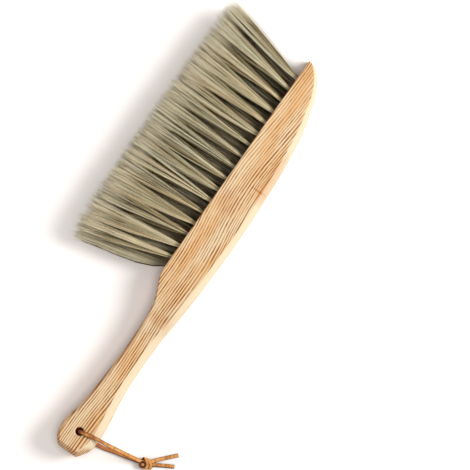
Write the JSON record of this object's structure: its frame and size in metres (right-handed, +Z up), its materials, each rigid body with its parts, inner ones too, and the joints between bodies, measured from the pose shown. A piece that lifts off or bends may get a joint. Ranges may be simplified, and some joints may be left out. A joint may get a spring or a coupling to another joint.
{
  "type": "dusting brush",
  "caption": "Wooden hand brush with staggered rows of long soft bristle tufts, a slim waisted handle and a leather hanging lace tied through its end.",
  "frame": {"origin": "under the middle of the box round the wood and bristles, on the surface that the brush lies on", "axes": "+X along the brush from the butt of the handle to the tip of the head, +Y from the wood towards the bristle tips, +Z up through the brush's thickness as it lies on its side"},
  "size_m": [0.336, 0.1617, 0.03],
  "materials": {
    "wood": "smooth sanded ash with brown grain lines along the brush, lightly oiled",
    "bristle": "soft hair, a mix of grey-green, cream and dark brown",
    "leather": "smooth tan leather"
  },
  "bodies": {
    "brush": {"wooden_body": "wood", "tuft_upper_01": "bristle", "tuft_upper_02": "bristle", "tuft_upper_03": "bristle", "tuft_upper_04": "bristle", "tuft_upper_05": "bristle", "tuft_upper_06": "bristle", "tuft_upper_07": "bristle", "tuft_upper_08": "bristle", "tuft_upper_09": "bristle", "tuft_upper_10": "bristle", "tuft_upper_11": "bristle", "tuft_upper_12": "bristle", "tuft_upper_13": "bristle", "tuft_upper_14": "bristle", "tuft_upper_15": "bristle", "tuft_upper_16": "bristle", "tuft_upper_17": "bristle", "tuft_middle_01": "bristle", "tuft_middle_02": "bristle", "tuft_middle_03": "bristle", "tuft_middle_04": "bristle", "tuft_middle_05": "bristle", "tuft_middle_06": "bristle", "tuft_middle_07": "bristle", "tuft_middle_08": "bristle", "tuft_middle_09": "bristle", "tuft_middle_10": "bristle", "tuft_middle_11": "bristle", "tuft_middle_12": "bristle", "tuft_middle_13": "bristle", "tuft_middle_14": "bristle", "tuft_middle_15": "bristle", "tuft_middle_16": "bristle", "tuft_middle_17": "bristle", "tuft_lower_01": "bristle", "tuft_lower_02": "bristle", "tuft_lower_03": "bristle", "tuft_lower_04": "bristle", "tuft_lower_05": "bristle", "tuft_lower_06": "bristle", "tuft_lower_07": "bristle", "tuft_lower_08": "bristle", "tuft_lower_09": "bristle", "tuft_lower_10": "bristle", "tuft_lower_11": "bristle", "tuft_lower_12": "bristle", "tuft_lower_13": "bristle", "tuft_lower_14": "bristle", "tuft_lower_15": "bristle", "tuft_lower_16": "bristle", "tuft_lower_17": "bristle"},
    "lace": {"lace_upper_leg": "leather", "lace_lower_leg": "leather", "lace_knot": "leather", "lace_long_tail": "leather", "lace_short_tail": "leather"}
  },
  "joints": [
    {"name": "lace_swing", "type": "hinge", "parent": "brush", "child": "lace", "pos_m": [-0.15099, -0.03684, 0.015], "axis": [0, 0, 1], "range_deg": [-200, 20]}
  ]
}
